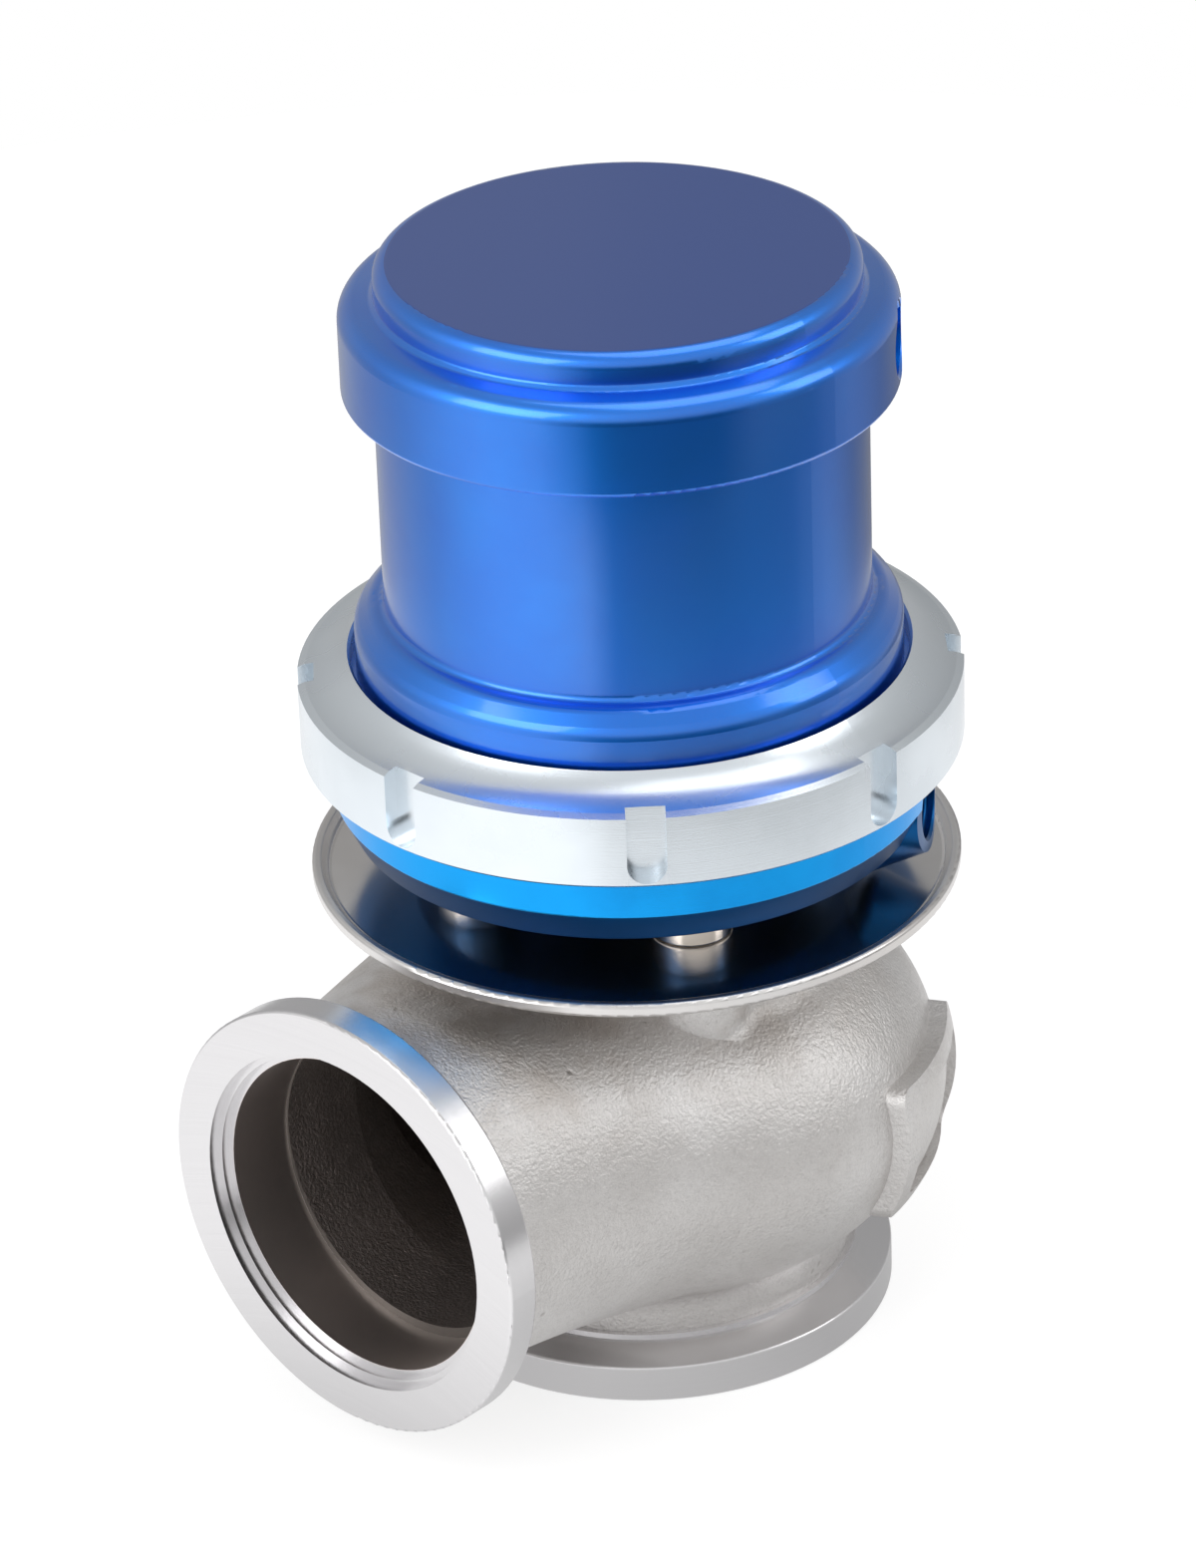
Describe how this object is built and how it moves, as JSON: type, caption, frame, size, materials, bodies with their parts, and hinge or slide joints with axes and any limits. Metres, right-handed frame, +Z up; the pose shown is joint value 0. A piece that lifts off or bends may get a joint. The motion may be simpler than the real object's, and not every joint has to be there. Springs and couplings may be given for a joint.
{
  "type": "turbo wastegate",
  "caption": "External wastegate: cast exhaust housing with clamp flanges, lifting poppet valve, heat shield and a round spring and diaphragm actuator with a screwed locking collar.",
  "frame": {"origin": "centre of the inlet flange's underside, on the valve axis", "axes": "+Z up along the valve stem, from the inlet flange to the actuator cap; the outlet flange looks along -Y; the boost ports and the cast pad look between +X and +Y"},
  "size_m": [0.079, 0.0927, 0.1373],
  "materials": {
    "cast_steel": "bead-blasted stainless casting with machined flange faces",
    "machined_steel": "fine turned",
    "bronze": "turned bronze",
    "polished_steel": "mirror polished stainless sheet",
    "spacer_steel": "turned, warm heat tint",
    "fastener_steel": "plain zinc plated",
    "bright_blue_anodised": "satin anodised",
    "deep_blue_anodised": "satin anodised",
    "clear_anodised": "satin clear anodised",
    "rubber": "moulded, fabric reinforced",
    "spring_steel": "painted spring wire"
  },
  "bodies": {
    "housing": {"valve_housing": "cast_steel", "valve_seat": "machined_steel", "valve_guide": "bronze", "heat_shield": "polished_steel", "standoff_spacers": "spacer_steel", "housing_screws": "fastener_steel", "actuator_base": "bright_blue_anodised", "stem_bush": "bronze", "stem_seal": "rubber", "seal_washer": "fastener_steel", "retaining_ring": "fastener_steel", "diaphragm": "rubber"},
    "valve_train": {"valve": "machined_steel", "lower_piston": "clear_anodised", "stem_o_ring": "rubber", "upper_piston": "clear_anodised", "piston_washer": "fastener_steel", "piston_nut": "fastener_steel"},
    "cap": {"actuator_cap": "deep_blue_anodised", "outer_spring": "spring_steel", "inner_spring": "spring_steel"},
    "collar_ring": {"collar": "clear_anodised"}
  },
  "joints": [
    {"name": "valve_lift", "type": "slide", "parent": "housing", "child": "valve_train", "axis": [0, 0, 1], "range_m": [0, 0.009], "stiffness_N_per_m": 5000, "springref_m": -0.009, "deforming": ["diaphragm", "outer_spring", "inner_spring"]},
    {"name": "cap_turn", "type": "hinge", "parent": "housing", "child": "cap", "pos_m": [0, 0, 0.084], "axis": [0, 0, 1], "continuous": true},
    {"name": "collar_turn", "type": "hinge", "parent": "housing", "child": "collar_ring", "pos_m": [0, 0, 0.0819], "axis": [0, 0, 1], "range_deg": [0, 45]}
  ]
}
